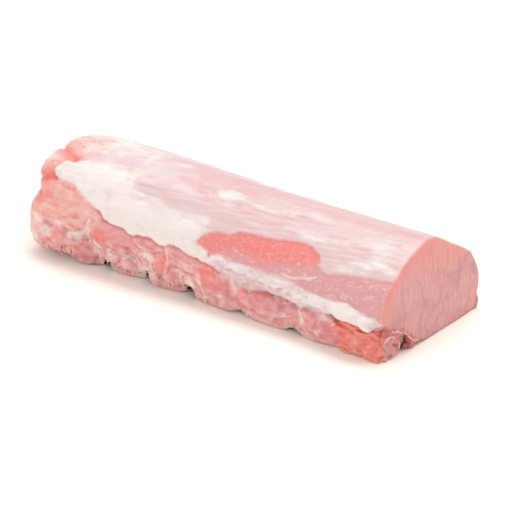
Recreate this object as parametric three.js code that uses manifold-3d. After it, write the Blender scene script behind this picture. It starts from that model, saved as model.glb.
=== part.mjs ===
// A raw boneless pork loin: a trimmed centre-cut piece that lies on its flat underside.
// Millimetres, +Z up. X runs along the loin, from the blunt rib end to the cut face, and Y from the
// near side, where the ribs were cut away, to the far side. The loin is one piece of meat, so it is
// one solid. Five forms are joined to make it: the eye muscle with its cover of fat, the side meat
// that lay between the ribs, the seam of fat along the top of that meat, the ragged wad under the
// eye, and the thin lip of the far side.
import * as THREE from "three";
import { mergeVertices } from "three/addons/utils/BufferGeometryUtils.js";
import Module from "manifold-3d";

// ---- Driving dimensions ----
const RIB_X = -171; // the tip of the blunt rib end
const CUT_X = 150; // the cut face, where it meets the board
const CUT_LEAN = 0.07; // the cut face leans back this much for each millimetre of height
const CUT_EDGE = 1.6; // the small round that the knife left along the cut face
const CUT_BULGE = 1.2; // how far the middle of the cut face stands out
const RIB_ROUND = 30; // the rib end rounds off over this length
const RIB_BLUNT = 3; // the power of that round: 2 is an ellipse, and more is blunter
const HEART = [-18, 27]; // the sections of the eye shrink towards this [y, z] at the rib end

// The fold in the near side of the rib end, and the furrow between the two rounds on its top: where
// they lie, how deep and wide they are, and how far along the loin they run.
const FOLD = { z: 48, depth: 10, wide: 6, reach: 34 };
const FURROW = { y: -50, depth: 2.5, wide: 7, reach: 40 };

// Sections of the eye as [y, z], once round from the near tip over the crown and back underneath.
const CUT_SECTION = {
  tip: [-76, 26],
  brow: [-75.5, 38],
  shoulder: [-65, 51.5],
  slope: [-43, 64.5],
  crown: [-17, 69.5],
  back: [9, 56],
  hip: [30.5, 42.5],
  flank: [39.5, 25],
  heel: [36, 10],
  farSole: [22, 0],
  midSole: [-5, 0],
  nearSole: [-31, 0],
  undercut: [-56, 14],
};
const RIB_SECTION = {
  tip: [-79, 22],
  brow: [-87, 41],
  shoulder: [-79, 60],
  slope: [-56, 74],
  crown: [-24, 74],
  back: [6, 62.5],
  hip: [30, 48],
  flank: [41, 28],
  heel: [38, 9],
  farSole: [25, 0],
  midSole: [-10, 0],
  nearSole: [-45, 0],
  undercut: [-66, 5],
};
const SECTION_TURN = [90, -150]; // the section turns from one to the other between these two X

// The side meat: the grooves where the ribs lay, and how far they lean back towards the rib end for
// each millimetre of height. The knife left gaps at the board, which run in under the near edge.
const RIBS = [
  { x: -138, deep: 2.5 },
  { x: -98, deep: 5.5, gapWide: 5, gapHigh: 4 },
  { x: -59, deep: 6.5, gapWide: 5, gapHigh: 7 },
  { x: -21, deep: 6.5, gapWide: 7, gapHigh: 8 },
  { x: 28, deep: 4, gapWide: 5, gapHigh: 2 },
  { x: 74, deep: 3.5, gapWide: 8, gapHigh: 4 },
  { x: 114, deep: 3 },
];
const GROOVE_WIDE = 9;
const RIB_LEAN = 0.4;
const GAP_IN = 14;
const GAP_FRONT = -76;
// It is tall beside the rib end and low under the seam of fat, and ends in a torn nub.
const SIDE = { tip: -167, end: 149, y: -58, wide: 24, z: 18.5, high: 20.5 };
const SIDE_LOW = { from: -30, to: 55, wide: 22, z: 11, high: 14.5 };
const NUB = { from: 96, to: 120, y: -65, wide: 13.5, lumps: 1.2 };

const SEAM = { tip: -36, end: 147, y: -72, z: 39.5, lowZ: 29, wide: 6, high: 2.5, fullHigh: 5.5 };
const SEAM_LUMP = { from: 98, to: 118, wide: 8.5, drop: 3 };
const WAD = { tip: -150, end: 147, y: -38, z: 6, wide: 11, high: 8 };
const LIP = { tip: -130, end: 153, y: 31, z: 5.5, wide: 9, high: 8.5 };

// Rows along each form and columns round it.
const EYE_GRID = { endRows: 9, rows: 46, columns: 40 };
const SIDE_GRID = { rows: 74, columns: 20 };
const SEAM_GRID = { rows: 40, columns: 10 };
const WAD_GRID = { rows: 36, columns: 12 };
const LIP_GRID = { rows: 24, columns: 10 };

// ---- Small maths ----
const mix = (a, b, t) => a + (b - a) * t;
const clamp = (t) => Math.min(1, Math.max(0, t));
const smooth = (from, to, x) => {
  const t = clamp((x - from) / (to - from));
  return t * t * (3 - 2 * t);
};
const hill = (x, centre, wide) => Math.exp(-(((x - centre) / wide) ** 2));
const superRound = (d, power) => (1 - clamp(d) ** power) ** (1 / power);

// A closed curve through the landmarks, at the share v of the way round.
function curveThrough(landmarks, v) {
  const n = landmarks.length;
  const place = v * n;
  const k = Math.floor(place);
  const t = place - k;
  const [a, b, c, d] = [-1, 0, 1, 2].map((step) => landmarks[(k + step + n) % n]);
  return [0, 1].map((i) => {
    const bend = 2 * a[i] - 5 * b[i] + 4 * c[i] - d[i];
    const twist = 3 * (b[i] - c[i]) + d[i] - a[i];
    return b[i] + 0.5 * t * (c[i] - a[i] + t * (bend + t * twist));
  });
}

// Every form takes x along the loin, the share of its full section that is left there, and the
// share v of the way round, and gives a point.

// ---- The eye muscle under its cover of fat ----
function eye(x, share, v) {
  const toRib = smooth(...SECTION_TURN, x);
  const landmarks = Object.keys(CUT_SECTION).map((name) =>
    [0, 1].map((i) => mix(CUT_SECTION[name][i], RIB_SECTION[name][i], toRib)),
  );
  let [y, z] = curveThrough(landmarks, v);
  const atEnd = (reach) => smooth(RIB_X + reach, RIB_X + 8, x);
  y += FOLD.depth * hill(z, FOLD.z, FOLD.wide) * smooth(-35, -70, y) * atEnd(FOLD.reach);
  z -= FURROW.depth * hill(y, FURROW.y, FURROW.wide) * smooth(40, 60, z) * atEnd(FURROW.reach);
  y = mix(HEART[0], y, share);
  z = Math.max(0, mix(HEART[1], z, share));
  return [x - CUT_LEAN * z * smooth(40, CUT_X, x), y, z];
}

function eyeRows() {
  const { endRows, rows: count } = EYE_GRID;
  const rows = [];
  for (let i = 1; i < endRows; i++) {
    const d = Math.cos((Math.PI / 2) * (i / endRows));
    rows.push([RIB_X + RIB_ROUND * (1 - d), superRound(d, RIB_BLUNT)]);
  }
  for (let i = 0; i <= count; i++) {
    rows.push([mix(RIB_X + RIB_ROUND, CUT_X - CUT_EDGE, i / count), 1]);
  }
  rows.push([CUT_X - 0.3 * CUT_EDGE, 0.988], [CUT_X, 0.965], [CUT_X + 0.6 * CUT_BULGE, 0.55]);
  return { first: RIB_X, rows, last: CUT_X + CUT_BULGE };
}

// ---- The side meat ----
const grooveAt = (x) =>
  Math.max(...RIBS.map((rib) => rib.deep * Math.exp(-Math.abs(x - rib.x) / GROOVE_WIDE)));

// How high the meat is lifted off the board at a point low on its near side.
function gapUnder(x, y, z) {
  const gaps = RIBS.filter((rib) => rib.gapHigh);
  const high = Math.max(...gaps.map((gap) => gap.gapHigh * hill(x, gap.x, gap.gapWide)));
  return high * smooth(GAP_FRONT + GAP_IN, GAP_FRONT, y) * smooth(16, 6, z);
}

function sideMeat(x, share, v) {
  const angle = 2 * Math.PI * v;
  const square = (Math.cos(angle) ** 4 + Math.sin(angle) ** 4) ** -0.25;
  const out = square * Math.cos(angle);
  const up = square * Math.sin(angle);
  const low = smooth(SIDE_LOW.from, SIDE_LOW.to, x);
  const toNub = smooth(NUB.from, NUB.to, x);
  const heartY = mix(SIDE.y, NUB.y, toNub) - 7 * smooth(-85, -150, x);
  const heartZ = mix(SIDE.z, SIDE_LOW.z, low) - 2 * toNub + 5 * smooth(-130, -162, x);
  const groove = (1 - toNub) * grooveAt(x + RIB_LEAN * (heartZ + 15 * up));
  const knots = Math.sin(0.42 * x + 3 * angle) + 0.75 * Math.sin(0.9 * x - 2 * angle);
  const lumps = toNub * NUB.lumps * knots;
  const wide = mix(mix(SIDE.wide, SIDE_LOW.wide, low), NUB.wide, toNub) + lumps - groove;
  const high = mix(SIDE.high, SIDE_LOW.high, low) - 1.5 * toNub + lumps - 0.3 * groove;
  const y = heartY - share * wide * out;
  const z = heartZ + share * high * up;
  return [x, y, Math.max(0, z, gapUnder(x, y, z))];
}

// ---- The seam of fat, thick at the cut end ----
function seam(x, share, v) {
  const angle = 2 * Math.PI * v;
  const ripple = 0.5 * Math.sin(0.16 * x) + 0.4 * Math.sin(0.29 * x + 1);
  const drop = SEAM_LUMP.drop * smooth(112, 134, x);
  const heartZ = mix(SEAM.z, SEAM.lowZ, smooth(-20, 75, x)) - drop + ripple;
  const wide = mix(SEAM.wide, SEAM_LUMP.wide, smooth(SEAM_LUMP.from, SEAM_LUMP.to, x));
  const high = mix(SEAM.high, SEAM.fullHigh, smooth(-10, 85, x));
  return [x, SEAM.y - share * wide * Math.cos(angle), heartZ + share * high * Math.sin(angle)];
}

// ---- The wad under the eye, and the lip of the far side ----
// A ragged strip that lies on the board.
const strip = ({ y, z, wide, high }, pitch, turns) => (x, share, v) => {
  const angle = 2 * Math.PI * v;
  const ragged =
    1 + 0.09 * Math.sin(pitch * x + 2 * angle) + 0.07 * Math.sin(2.7 * pitch * x - turns * angle);
  const up = z + share * ragged * high * Math.sin(angle);
  return [x, y - share * ragged * wide * Math.cos(angle), Math.max(0, up)];
};
const wad = strip(WAD, 0.31, 3);
const lip = strip(LIP, 0.13, 2);

// ---- From a form to a solid ----
// The rows of a tube that narrows to a tip at both ends, over the two lengths given.
function tubeRows({ tip, end }, tipRound, endRound, { rows: count }) {
  const rows = [];
  for (let i = 1; i < count; i++) {
    const even = i / count;
    const crowded = (1 - Math.cos(Math.PI * even)) / 2;
    const x = mix(tip, end, mix(even, crowded, 0.5));
    const start = superRound((tip + tipRound - x) / tipRound, 2.2);
    const stop = superRound((x - end + endRound) / endRound, 2.2);
    rows.push([x, start * stop]);
  }
  return { first: tip, rows, last: end };
}

// A closed mesh over the rows, with a pole at either end.
function skin(form, { first, rows, last }, { columns }) {
  const points = [form(first, 0, 0)];
  for (const [x, share] of rows) {
    for (let j = 0; j < columns; j++) points.push(form(x, share, j / columns));
  }
  points.push(form(last, 0, 0));
  const at = (i, j) => 1 + i * columns + (j % columns);
  const pole = points.length - 1;
  const faces = [];
  for (let j = 0; j < columns; j++) {
    faces.push([0, at(0, j), at(0, j + 1)]);
    for (let i = 0; i < rows.length - 1; i++) {
      faces.push([at(i, j), at(i + 1, j), at(i + 1, j + 1)]);
      faces.push([at(i, j), at(i + 1, j + 1), at(i, j + 1)]);
    }
    faces.push([pole, at(rows.length - 1, j + 1), at(rows.length - 1, j)]);
  }
  const geometry = new THREE.BufferGeometry();
  geometry.setAttribute("position", new THREE.Float32BufferAttribute(points.flat(), 3));
  geometry.setIndex(faces.flat());
  return mergeVertices(geometry, 1e-3);
}

const wasm = await Module();
wasm.setup();

function solidOf(geometry) {
  const vertProperties = geometry.getAttribute("position").array;
  const triVerts = new Uint32Array(geometry.index.array);
  return new wasm.Manifold(new wasm.Mesh({ numProp: 3, vertProperties, triVerts }));
}

function geometryOf(solid) {
  const { vertProperties, triVerts } = solid.getMesh();
  const geometry = new THREE.BufferGeometry();
  geometry.setAttribute("position", new THREE.BufferAttribute(vertProperties, 3));
  geometry.setIndex(new THREE.BufferAttribute(triVerts, 1));
  return geometry;
}

const FORMS = [
  skin(eye, eyeRows(), EYE_GRID),
  skin(sideMeat, tubeRows(SIDE, 20, 9, SIDE_GRID), SIDE_GRID),
  skin(seam, tubeRows(SEAM, 30, 7, SEAM_GRID), SEAM_GRID),
  skin(wad, tubeRows(WAD, 16, 6, WAD_GRID), WAD_GRID),
  skin(lip, tubeRows(LIP, 40, 9, LIP_GRID), LIP_GRID),
];

// The origin is under the middle of the loin, on the board.
const meat = FORMS.map(solidOf).reduce((whole, form) => whole.add(form));
const shape = geometryOf(meat);
shape.computeBoundingBox();
const middle = shape.boundingBox.getCenter(new THREE.Vector3());
shape.translate(-middle.x, -middle.y, 0);
shape.computeVertexNormals();

const rawPork = new THREE.MeshStandardMaterial({ color: 0xe9b9b5, roughness: 0.42, metalness: 0 });

const loin = new THREE.Mesh(shape, rawPork);
loin.name = "loin";

const porkLoin = new THREE.Group();
porkLoin.add(loin);

export default porkLoin;
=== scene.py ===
import math
from itertools import product

import bpy
import numpy as np
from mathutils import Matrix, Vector


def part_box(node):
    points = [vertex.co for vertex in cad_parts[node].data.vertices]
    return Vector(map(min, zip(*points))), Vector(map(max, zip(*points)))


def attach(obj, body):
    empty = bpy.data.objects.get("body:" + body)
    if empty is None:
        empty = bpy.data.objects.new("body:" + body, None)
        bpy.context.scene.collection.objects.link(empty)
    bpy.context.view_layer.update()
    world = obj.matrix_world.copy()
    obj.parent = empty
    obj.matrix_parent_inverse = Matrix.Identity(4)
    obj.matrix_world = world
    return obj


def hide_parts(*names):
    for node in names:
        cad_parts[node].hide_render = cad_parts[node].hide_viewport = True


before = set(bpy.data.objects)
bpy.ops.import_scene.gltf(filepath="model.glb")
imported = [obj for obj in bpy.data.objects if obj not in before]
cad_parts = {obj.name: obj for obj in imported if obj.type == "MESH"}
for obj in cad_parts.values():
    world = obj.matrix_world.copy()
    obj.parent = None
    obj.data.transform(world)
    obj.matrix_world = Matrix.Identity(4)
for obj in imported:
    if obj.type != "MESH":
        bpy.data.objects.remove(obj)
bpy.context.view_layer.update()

bl_info = {
    "name": "Raw pork loin",
    "version": (1, 0, 0),
    "blender": (4, 5, 0),
    "location": "3D View > Sidebar > Pork loin",
    "description": "Builds a trimmed boneless pork loin with torn trimmings and a plain studio",
    "category": "Object",
}

# The loin lies along X with its cut face at +X and its lobed rib side at -Y. Sizes here are in
# millimetres from the heart line of the uncut muscle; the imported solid's box says where that lies.
LOIN_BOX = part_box("loin")
MM = 0.001
RIB_X = -171.0
CUT_X = 150.0
NEAREST_Y = -87.44
SHIFT = np.array([LOIN_BOX[0].x / MM - RIB_X, LOIN_BOX[0].y / MM - NEAREST_Y, 0.0])

# The big muscle's outline at the cut face and at the rib end, each once round from the near tip,
# as (across, up). The outline turns from one to the other between the two places in SECTION_TURN.
CUT_SECTION = (
    (-76, 26), (-75.5, 38), (-65, 51.5), (-43, 64.5), (-17, 69.5), (9, 56), (30.5, 42.5),
    (39.5, 25), (36, 10), (22, 0), (-5, 0), (-31, 0), (-56, 14),
)
RIB_SECTION = (
    (-79, 22), (-87, 41), (-79, 60), (-56, 74), (-24, 74), (6, 62.5), (30, 48),
    (41, 28), (38, 9), (25, 0), (-10, 0), (-45, 0), (-66, 5),
)
SECTION_TURN = (90.0, -150.0)
STEPS_A_LANDMARK = 16
HEART = (-18.0, 27.0)
CUT_LEAN = 0.07
LEAN_FROM = 40.0
CUT_EDGE = 1.6
CUT_BULGE = 1.2
RIB_ROUND = 30.0
RIB_BLUNT = 3.0
STREAK_CLIMB = 0.1
FOLD = {"up": 48.0, "deep": 10.0, "wide": 6.0, "reach": 34.0}
FURROW = {"across": -50.0, "deep": 2.5, "wide": 7.0, "reach": 40.0}
# Rough radii of the eye and of its cut face, to turn shares of a section into millimetres.
EYE_RADIUS = 62.0
FACE_RADIUS = 60.0
# Where the rim turns onto the cut face it takes this share off the section.
EDGE_SHRINK = 0.03
# How squarely the ends of the tubes round off, and the corners of a tube's outline.
TUBE_BLUNT = 2.2
TUBE_CORNERS = 48
# The fine steps from which rows and columns are picked: millimetres along, and degrees round.
FINE_STEP = 0.25
FINE_TURN = 0.5
# Stands for the reach of an outline in a direction where it isn't met.
NOWHERE = -99.0

# Tubes joined to the eye: first and last x, and how far from each end they come to their full section.
SIDE_TUBE = (-167, 149, 20, 9)
SEAM_TUBE = (-36, 147, 30, 7)
WAD_TUBE = (-150, 147, 16, 6)
LIP_TUBE = (-130, 153, 40, 9)
# The wad and the lip: centre as (across, up), half width and half height.
WAD = ((-38.0, 6.0), 11.0, 8.0)
LIP = ((31.0, 5.5), 9.0, 8.5)

# The side meat: a boxy tube along the near side, pinched between the ribs.
RIB_GAPS = ((-138, 2.5), (-98, 5.5), (-59, 6.5), (-21, 6.5), (28, 4.0), (74, 3.5), (114, 3.0))
GAP_WIDE = 9.0
GAP_LEAN = 0.4
# Notches where it lifts off the floor: place, half width, height, and how strongly painted shade darkens
# their inside.
FLOOR_GAPS = (
    (-131, 20, 7.6, 0.5), (-94, 4.2, 2.6, 1.0), (-55, 3.2, 5.0, 1.0), (-17.5, 4.2, 5.0, 1.0),
    (28, 5, 1.5, 0.5), (74, 7, 2.6, 0.6),
)
FLOOR_GAP_FRONT = -76.0
FLOOR_GAP_DEEP = 5.0

# Lines on the skin are drawn in a plane map: along the loin in millimetres, and round the heart line
# in degrees from the near side (0) over the crown (90) to the far side (180).
SHEET_EDGE = (
    (-144, 35), (-142, 32), (-138, 30.5), (-131, 29), (-122, 29), (-115, 26), (-108, 23.5),
    (-100, 20.5), (-91, 17.5), (-87, 14), (-80, 12.5), (-70, 12), (-65, 9.5), (-61, 8.5), (-57, 10.5),
    (-50, 11.5), (-43, 11), (-38, 8), (-33, 8.5), (-30, 10.5), (-25, 11), (-20, 10), (-14, 8.5),
    (-7, 6.5), (0, 6), (6, 5), (13, 2.5), (19, 0), (26, -3), (34, -3.5), (42, -3), (48, -3), (56, -1.5),
    (64, -1.5), (72, -2.5), (79, -4.5), (90, -4.5), (98, -4.5), (104, -3.5), (110, -1.5), (118, -2.5),
    (126, -6), (134, -8), (140, -6), (145, -2), (152, 1), (165, 1), (160, 172), (110, 166), (60, 171),
    (20, 164), (-30, 169), (-80, 165), (-120, 168), (-140, 158), (-150, 130), (-146, 100), (-135, 76),
    (-126, 60), (-122, 50), (-131, 43), (-138, 42),
)
# The upper border that the bare muscle and its freshest, reddest part share, and then each in full.
MUSCLE_TOP = (
    (-8, 17), (-5, 22), (0, 26), (8, 28), (15, 28.5), (19, 32), (28, 33.5), (40, 34), (48, 35), (55, 37.5),
    (65, 39.5), (75, 39.5), (79, 36.5), (86, 34), (88, 31),
)
BARE_MUSCLE = MUSCLE_TOP + (
    (89, 26), (97, 22.5), (103, 24), (112, 26), (120, 27.5), (130, 28.5), (140, 30), (150, 31), (165, 32),
    (165, 2), (147, 3), (143, 4.5), (137, 4.5), (133, 5), (128, 7), (120, 8.5), (112, 7.5), (104, 7),
    (90, 8), (80, 9), (70, 11.5), (60, 12.5), (50, 12), (42, 11.5), (30, 12), (20, 13), (10, 13.5), (6, 13),
    (4, 10.5), (2, 13.5), (-2, 15),
)
RED_MUSCLE = MUSCLE_TOP + (
    (84, 27), (75, 24.5), (60, 21.5), (45, 18), (32, 20), (20, 20), (12, 17), (6, 14), (4, 10.5), (2, 13.5),
)
THICK_FAT = (
    (-150, 42), (-138, 43), (-120, 46), (-105, 49), (-92, 48), (-82, 44), (-76, 38), (-62, 33),
    (-45, 31), (-30, 33), (-16, 33), (-9, 27), (-7, 18), (2, 14), (6, 0), (-60, -5), (-160, 5),
)
THIN_LINE = ((64, 13.8), (70, 13.6), (76, 14.2), (81, 15.2), (86, 16.5), (91, 18))
CREASES = (
    ((-172, 27), (-160, 26), (-150, 27.5), (-143, 30.5), (-138, 30.5)),
    ((-170, 63), (-163, 57), (-150, 52), (-140, 48), (-132, 44.5)),
)
WEBS = (
    ((-101, 10), (-105, 3), (-109, -1), (-120, -3)),
    ((-108, -3), (-103, -7), (-97, -9), (-92, -12), (-87, -16)),
    ((-86, -8), (-80, -9.5), (-73, -10), (-66, -8)),
    ((-70, -9), (-64, -12), (-60, -17), (-66, -24)),
    ((-50, -2), (-48, -9), (-53, -14), (-58, -20), (-64, -27)),
    ((-31, 9), (-34, 4), (-33, -2), (-36, -10)),
    ((-30, -4), (-20, -3), (-8, -2)),
    ((-2, -3), (-4, -9), (-2, -15), (0, -20)),
    ((18, 2), (24, -4), (26, -10), (32, -17), (40, -21)),
    ((38, -3), (39, -10), (44, -16), (52, -20)),
    ((48, 2), (58, -2), (66, -5), (68, -7)),
    ((66, -3), (78, -5), (82, -9), (84, -16), (88, -21)),
    ((80, -8), (72, -13), (62, -17)),
    ((98, -6), (97, -12), (92, -18)),
    ((90, -16), (98, -14), (104, -17)),
    ((70, -2), (85, -3), (97, -3.5)),
)
# Lobes of the side meat: place along and round, half length, half width, and tilt in degrees.
LOBES = (
    (-83, 3, 21, 10, 0), (-50, 6, 13, 6.5, 0), (-19, 3, 15, 8.5, -10), (-38, -5, 9, 7, 0),
    (-64, -4, 7, 5.5, 0), (-76, -5, 7, 4, -5), (-84, -12, 7, 4, 15), (-68, -15, 9, 5.5, -15),
    (-109, -15, 9, 10, -20), (-130, -6, 8, 7, 0), (-142, -5, 7, 6, 0), (-116, 4, 12, 4.5, 5),
    (-116, -8, 9, 4, 0), (8, -6, 18, 11, -25), (34, -10, 9, 5, -50), (53, -10, 15, 9, -5),
    (73, -12, 11, 8, -10), (90, -9, 9, 8.5, -20), (104, -14, 10, 10, -45), (-28, -13, 10, 6, 0),
    (-12, -10, 7, 4.5, 10), (-47, -18, 7, 5, 0), (20, -19, 8, 5, 0),
)
# Holes where the ragged underside doesn't meet the floor: along, round, half long, half high, deep.
HOLES = (
    (-128, -27, 18, 7, 3), (-91.5, -19.5, 4.8, 4.0, 7), (-53.5, -18.5, 4.2, 3.2, 5),
    (-15.5, -19.5, 5.2, 3.6, 5), (76, -26, 6, 3.5, 4), (32, -26, 7, 3.5, 4), (52, -27, 12, 3, 3),
    (112, -28, 14, 3, 3),
)
# Smooth raised islands of the sheet: along, round, half long, half wide, high.
ISLANDS = (
    (-5, 59, 15, 8, 1.7), (30, 58, 20, 4.5, 0.6), (-90, 38, 20, 9, 0.8), (-45, 22, 30, 10, 0.8),
    (-97, 62, 12, 11, -0.8), (-62, 39, 16, 4, -0.6), (66, 67, 18, 6, 0.6), (76, 46, 26, 4.5, 0.5),
    (125, 60, 26, 12, 0.5), (-124, 36, 18, 6, 0.6), (-35, 62, 15, 7, -0.8), (125, 37, 24, 4, 0.4),
    (120, 4, 13, 5, 2.0), (138, 0, 6, 4.5, 1.6), (-66, 34.5, 9, 1.8, 0.6), (45, 64, 14, 2.5, 0.5),
)
# Stains of colour on the skin: place along and round, reach along and round, strength, and maybe a tilt.
STAINS = {
    "coral": (
        (-152, 20, 18, 4.5, 1.2), (-152, 31, 10, 4.5, 0.9), (-169, 20, 4, 30, 0.7),
        (-115, 4, 8, 2.5, 1.0), (-131, -5, 5, 4, 0.9), (-116, -9, 6, 2, 0.9), (-96, -1, 9, 5, 1.1),
        (-102, -3, 5, 4, 0.7), (-38, -5, 8, 5, 1.05), (-28, -16, 4, 3, 0.6), (4, -1, 10, 5, 1.0),
        (12, -8, 10, 6, 0.6, -20), (33, -11, 5, 7, 0.95), (47, -6, 8, 4, 0.6), (90, -8, 7, 6, 0.55),
        (-91, -13, 5, 2.5, 0.8), (-138, -11, 8, 2, 0.7), (106, -3, 6, 4, 0.8), (-64, -5, 6, 4, 0.6),
        (-158, 9, 8, 3, 0.6), (-80, -10.5, 4, 1.5, 0.7), (-8, -15, 4, 3, 0.7), (118, -12, 12, 10, 1.2),
        (-166, 65, 4, 10, 0.8), (-135, 46, 5, 2.5, 0.8), (-100, 12, 5, 3, 0.3), (-150, 13, 13, 4, 0.7),
        (-134, 14, 8, 4, 0.4), (-92, 3, 7, 4, 0.8), (114, -3, 8, 3, 1.1), (-94, -10, 6, 4, 0.6),
        (-36, 0, 6, 6, 0.6), (-143, 27, 6, 4, 1.0),
    ),
    "mauve": (
        (-50, 7, 9, 3.5, 0.9), (-20, 5, 10, 4, 0.6), (-108, -16, 8, 7, 0.8), (-80, 6, 14, 5, 0.5),
        (12, 5, 6, 3, 0.8), (104, -14, 8, 7, 0.9), (72, -14, 9, 4, 0.7), (16, -14, 8, 6, 0.5),
        (-72, -4, 8, 4, 0.5), (-24, -12, 8, 5, 0.5), (54, -14, 12, 4, 0.5), (-92, 8, 6, 3, 0.6),
        (48, -8, 12, 6, 0.9), (72, -12, 10, 5, 0.9), (92, -12, 8, 6, 0.9), (24, -17, 8, 3, 0.7),
        (12, -13, 8, 5, 0.7), (100, -18, 9, 3, 1.0), (-108, -18, 10, 4, 0.8),
    ),
    "pale": (
        (-52, -3, 8, 4, 1.1), (-104, 2, 5, 2.5, 1.0, 50), (-117, -3, 8, 2.5, 1.0),
        (-103, -6.5, 5, 1.8, 0.9), (-60, -19, 11, 4, 0.9, 50), (-40, 5, 3, 4, 0.6),
        (-86, -9, 5, 2, 0.7), (-74, -16, 6, 3, 0.6), (30, 1, 18, 4.5, 1.1), (44, 0, 5, 2, 1.0),
        (15, -15, 6, 4, 0.7), (25, -7, 8, 3, 0.8, -65), (63, -4, 6, 1.5, 1.0), (82, -9, 7, 2, 0.8, -70),
        (101, -6, 6, 3, 0.9), (95, -17, 8, 2.5, 0.6, 20), (-12, -11, 5, 3.5, 1.0), (-6, -6, 3, 4, 0.7),
        (62, -16, 12, 2, 0.6, 25), (-47, -14, 5, 3, 0.7), (-140, -5, 7, 4, 1.0), (-82, -13, 4, 3, 0.5),
        (-120, -13, 6, 2, 0.5), (-20, -5, 10, 1.5, 0.6), (-100, -12, 3, 5, 0.5), (-33, 3, 2, 7, 0.5),
        (110, -8, 4, 6, 0.6), (28, -22, 5, 3, 0.7), (-155, 78, 5, 6, 0.6), (-145, 92, 18, 16, 1.3),
        (-139, 49, 7, 4, 0.9), (-155, 43, 12, 5, 0.8), (-132, 62, 9, 10, 0.9), (-150, 70, 14, 8, 0.6),
        (-134, 47, 6, 2, 0.7), (-130, 2, 10, 2.5, 0.8), (-150, 0, 8, 5, 0.8), (-152, -10, 6, 6, 0.8),
        (-86, -3, 5, 2.5, 0.5), (-24, -8, 9, 2, 0.7), (-65, -8.5, 5, 2, 0.7), (-55, 3, 6, 2, 0.6),
        (-15, 1, 9, 2, 0.6), (-27, -18, 6, 3, 0.6), (3, -18, 6, 3, 0.5), (45, -2, 6, 1.5, 0.6),
    ),
    "blush": (
        (-35, 60, 16, 4, 1.0), (-25, 54, 10, 3, 0.9, -15), (-15, 60, 5, 8, 0.7), (-30, 75, 22, 12, 0.6),
        (5, 71, 12, 9, 0.9), (10, 50, 14, 3, 0.9, 5), (40, 47, 12, 5, 0.7), (30, 80, 50, 6, 0.6),
        (90, 78, 50, 5, 0.8), (138, 83, 12, 4, 1.3), (-48, 88, 12, 8, 0.5), (95, 67, 12, 5, 0.5),
        (115, 53, 12, 4, 0.4), (100, 36, 12, 2.5, 0.5), (-94, 60, 12, 8, 0.5), (-60, 85, 14, 5, 0.4),
        (20, 88, 30, 5, 0.5), (85, 92, 30, 5, 0.4), (-10, 85, 12, 10, 0.7), (60, 56, 10, 3, 0.3),
        (-18, 44, 6, 4, 0.5), (-40, 40, 8, 3, 0.4), (0, 120, 90, 14, 0.5), (60, 145, 90, 10, 0.6),
    ),
    "lilac": (
        (-97, 60, 11, 10, 1.0), (-105, 72, 8, 8, 0.5), (-48, 76, 6, 5, 0.5), (-16, 46, 6, 5, 0.5),
        (-45, 42, 5, 6, 0.4), (40, 92, 20, 5, 0.4), (70, 72, 14, 4, 0.4), (8, 5, 8, 3, 1.0),
        (43, 3, 5, 3, 0.8), (34, 5, 3, 3, 0.6), (58, 2, 12, 2, 0.8), (80, 1, 14, 1.5, 0.5),
        (-90, 29, 5, 4, 0.6),
    ),
    "grey": (
        (-62, 38, 15, 3.5, 0.9), (-30, 42, 12, 8, 0.6), (-70, 95, 8, 10, 0.5), (-50, 94, 8, 8, 0.6),
        (-88, 26, 4, 3, 0.5), (-65, 66, 15, 12, 0.4), (-130, 62, 10, 6, 0.4), (18, 87, 6, 3, 0.6),
        (-2, 58, 8, 5, 0.4), (15, 36, 16, 3, 0.5), (60, 46, 16, 4, 0.3), (112, 28, 10, 2, 0.3),
        (-8, 40, 8, 4, 0.4), (95, 92, 10, 5, 0.4), (125, 48, 16, 1.5, 0.4), (-50, 30, 12, 2, 0.3),
        (-142, -5, 5, 4, 1.0), (-19, 7, 8, 3, 0.5), (35, 4.5, 3, 2, 0.8), (-25, 110, 40, 6, 0.4),
        (-65, 62, 18, 14, 0.7), (-60, 98, 12, 9, 0.7), (-112, 60, 8, 20, 0.3), (65, 50, 18, 6, 0.4),
        (120, 62, 26, 9, 0.35), (-20, 36, 20, 6, 0.5), (-88, 28, 4, 3, 0.5),
    ),
    "fat": (
        (-92, 41, 14, 7, 1.3), (-120, 36, 18, 7, 1.0), (-138, 37, 7, 5, 0.9), (-75, 24, 22, 9, 1.2),
        (-40, 20, 22, 8, 1.1), (-15, 26, 14, 10, 1.0), (-125, 95, 14, 14, 1.3), (-4, 57, 14, 7, 0.8),
        (-2, 63, 10, 2, 0.7), (-15, 53, 5, 3, 0.4), (25, 58, 14, 4, 0.6), (45, 64, 12, 2.5, 0.7, 10),
        (65, 68, 14, 5, 0.6), (75, 45, 26, 5, 0.6), (125, 57, 26, 12, 0.6), (125, 36, 26, 4, 0.7),
        (20, 99, 30, 6, 1.0), (-100, 95, 20, 8, 0.8), (-65, 35.5, 8, 1.2, 0.9), (90, 2, 20, 6, 1.4),
        (125, 4, 22, 9, 1.6), (60, 7, 14, 4, 1.3), (25, 9, 20, 3, 0.8), (8, 11, 10, 3, 0.9),
        (30, 1, 14, 3, 0.6), (-105, 48, 12, 4, 0.6), (-80, 50, 12, 4, 0.5), (120, 70, 20, 3, 0.4),
        (-60, 78, 12, 6, 0.6), (100, 110, 60, 8, 0.4), (-105, 75, 34, 30, 0.72), (-70, 62, 22, 18, 0.7),
        (-122, 60, 10, 12, 0.8), (-45, 50, 14, 6, 0.4), (75, 70, 20, 5, 0.35), (-90, 40, 5, 8, 1.3),
        (-118, 88, 12, 10, 1.5), (-123, 74, 8, 12, 1.3), (-84, 72, 4, 12, 1.0), (135, 40, 14, 8, 0.7),
        (112, 30, 14, 4, 0.6),
    ),
}

# How far the creases at the rib end sink in, and how wide they are.
CREASE_DEPTHS = ((3.6, 3.4), (1.6, 2.4))
# Holes deeper than this get painted shade inside.
DARK_HOLE = 4.5
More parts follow.
